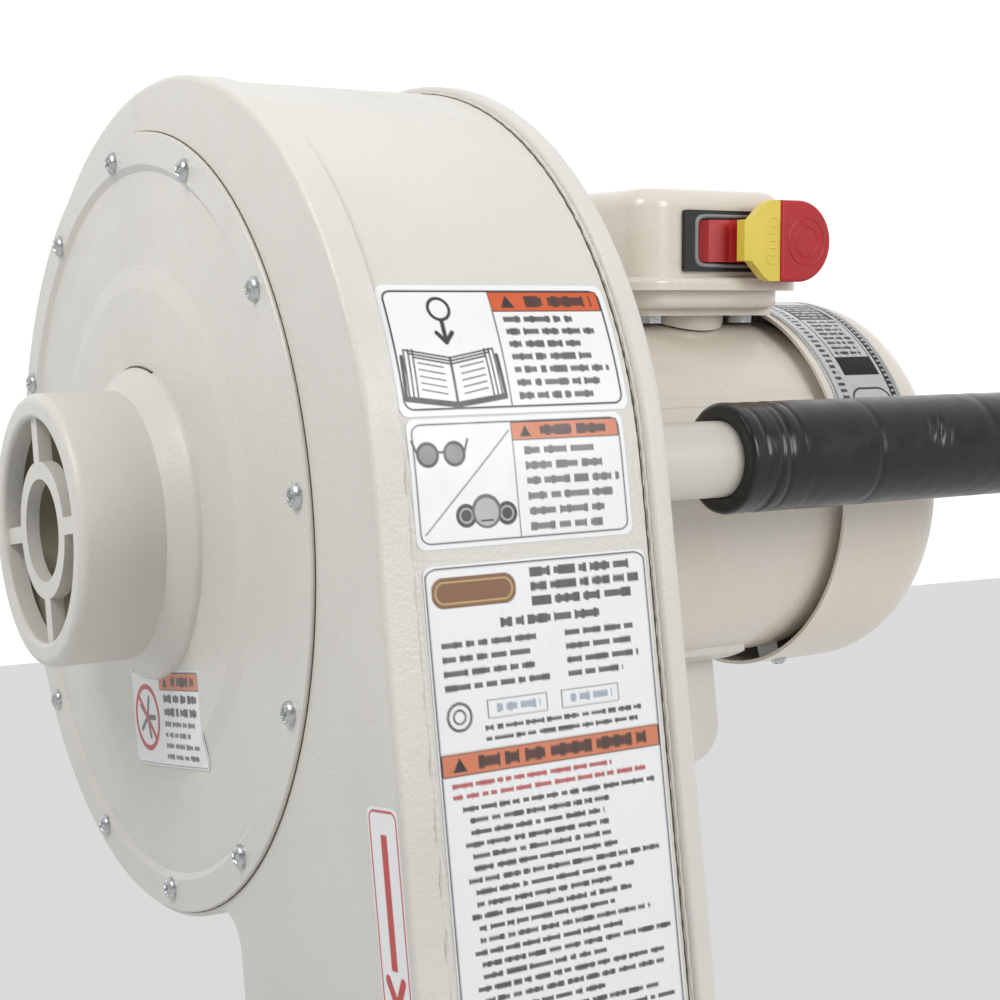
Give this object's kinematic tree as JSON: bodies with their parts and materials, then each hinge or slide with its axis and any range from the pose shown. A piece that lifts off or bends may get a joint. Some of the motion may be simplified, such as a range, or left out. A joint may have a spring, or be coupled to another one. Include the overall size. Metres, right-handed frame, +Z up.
{
  "type": "dust collector",
  "caption": "Wall-mounted dust collector: round blower housing with a guarded inlet, side motor with key switch, carrying handle, and a hanging filter bag.",
  "frame": {"origin": "centre of the four wall holes, on the plate face that touches the wall", "axes": "+X along the shaft from the inlet to the motor, +Y into the wall, +Z up"},
  "size_m": [0.5024, 0.4825, 1.0014],
  "materials": {
    "housing_paint": "textured powder coat, off-white",
    "motor_paint": "smooth enamel, warm cream",
    "zinc_steel": "bright zinc plating",
    "ground_steel": "turned and ground",
    "wheel_paint": "dark grey enamel",
    "cast_aluminium": "as cast, satin",
    "core_iron": "stacked laminations, varnished",
    "winding_copper": "enamelled wire",
    "black_plastic": "moulded, fine texture",
    "black_rubber": "soft sleeve, slight sheen",
    "red_plastic": "moulded, satin gloss",
    "yellow_plastic": "moulded, satin gloss",
    "capacitor_case": "moulded",
    "bag_cloth": "felted filter cloth"
  },
  "bodies": {
    "root": {"front_pan": "housing_paint", "scroll_band": "housing_paint", "rear_plate": "housing_paint", "outlet_plate": "housing_paint", "outlet_collar": "housing_paint", "inlet_cover_plate": "housing_paint", "inlet_spigot": "housing_paint", "handle_tube": "housing_paint", "hanger_bracket": "housing_paint", "wall_plate": "housing_paint", "motor_support": "housing_paint", "motor_shell": "motor_paint", "fan_cover": "motor_paint", "box_boss": "motor_paint", "box_plate": "motor_paint", "switch_tray": "motor_paint", "switch_cover": "motor_paint", "outlet_screws": "zinc_steel", "cover_plate_screws": "zinc_steel", "motor_bolts": "zinc_steel", "fan_cover_screws": "zinc_steel", "box_plate_bolts": "zinc_steel", "switch_cover_screws": "zinc_steel", "handle_screws": "zinc_steel", "hanger_bolts": "zinc_steel", "bag_band": "zinc_steel", "front_bearing_outer": "ground_steel", "rear_bearing_outer": "ground_steel", "motor_front_bell": "cast_aluminium", "motor_rear_bell": "cast_aluminium", "nameplate": "cast_aluminium", "stator_core": "core_iron", "stator_windings": "winding_copper", "switch_body": "black_plastic", "handle_plug": "black_plastic", "cord_gland": "black_plastic", "start_switch": "black_plastic", "boss_gasket": "black_rubber", "handle_grip": "black_rubber", "capacitor": "capacitor_case", "filter_bag": "bag_cloth"},
    "rotor": {"impeller": "wheel_paint", "impeller_hub": "ground_steel", "shaft_key": "ground_steel", "impeller_bolt": "zinc_steel", "impeller_washer": "zinc_steel", "motor_shaft": "ground_steel", "front_bearing_inner": "ground_steel", "front_bearing_balls": "ground_steel", "rear_bearing_inner": "ground_steel", "rear_bearing_balls": "ground_steel", "rotor_core": "core_iron", "centrifugal_weight": "black_plastic", "cooling_fan": "black_plastic"},
    "rocker": {"switch_rocker": "red_plastic"},
    "key": {"safety_key": "yellow_plastic", "key_cap": "red_plastic"},
    "latch": {"bag_latch": "zinc_steel"}
  },
  "joints": [
    {"name": "rotor_spin", "type": "hinge", "parent": "root", "child": "rotor", "pos_m": [-0.142, -0.19, 0], "axis": [1, 0, 0], "continuous": true},
    {"name": "rocker_tilt", "type": "hinge", "parent": "root", "child": "rocker", "pos_m": [0.098, -0.2447, 0.10004], "axis": [0, 0.1599, -0.9871], "range_deg": [0, 16]},
    {"name": "key_pull", "type": "slide", "parent": "rocker", "child": "key", "axis": [1, 0, 0], "range_m": [0, 0.024]},
    {"name": "latch_swing", "type": "hinge", "parent": "root", "child": "latch", "pos_m": [-0.0764, -0.389, -0.211], "axis": [0, 0, 1], "range_deg": [0, 110]}
  ]
}
